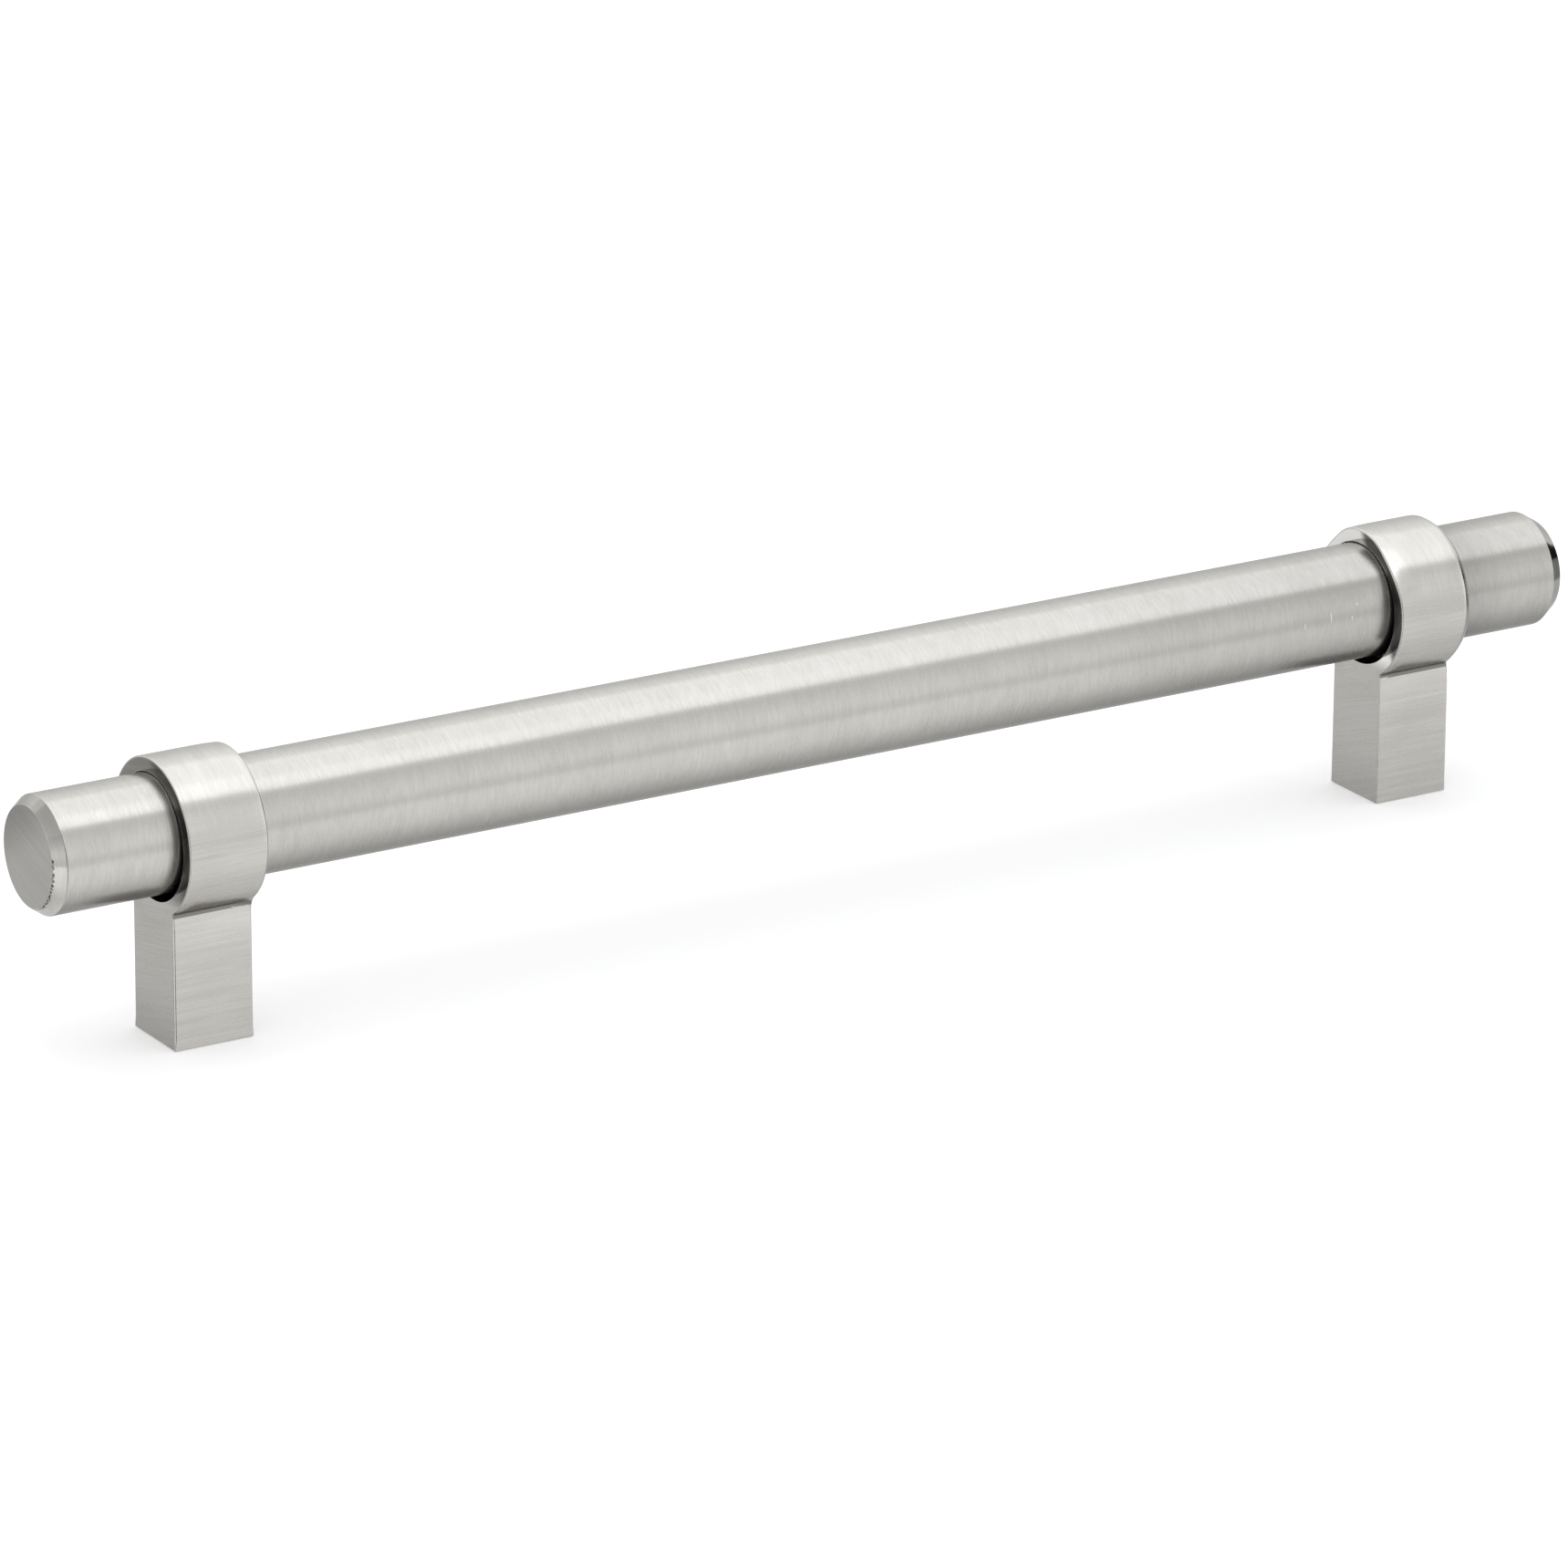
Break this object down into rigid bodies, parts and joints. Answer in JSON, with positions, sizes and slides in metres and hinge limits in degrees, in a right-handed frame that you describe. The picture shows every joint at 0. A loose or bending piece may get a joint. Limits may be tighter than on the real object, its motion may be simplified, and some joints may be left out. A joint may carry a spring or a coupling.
{
  "type": "cabinet pull",
  "caption": "Round bar pull: a brushed bar passes through the collars of square posts, screwed on from behind the door.",
  "frame": {"origin": "on the door's face, midway between the two screw holes", "axes": "+X along the bar, +Z away from the door, so the pull stands on its two feet"},
  "size_m": [0.2, 0.018, 0.0326],
  "materials": {
    "bar_nickel": "satin nickel, brushed round the bar",
    "post_nickel": "satin nickel, brushed along the bar",
    "screw_steel": "black oxide"
  },
  "bodies": {
    "root": {"bar": "bar_nickel", "left_post": "post_nickel", "right_post": "post_nickel", "grub_screws": "screw_steel"}
  },
  "joints": []
}
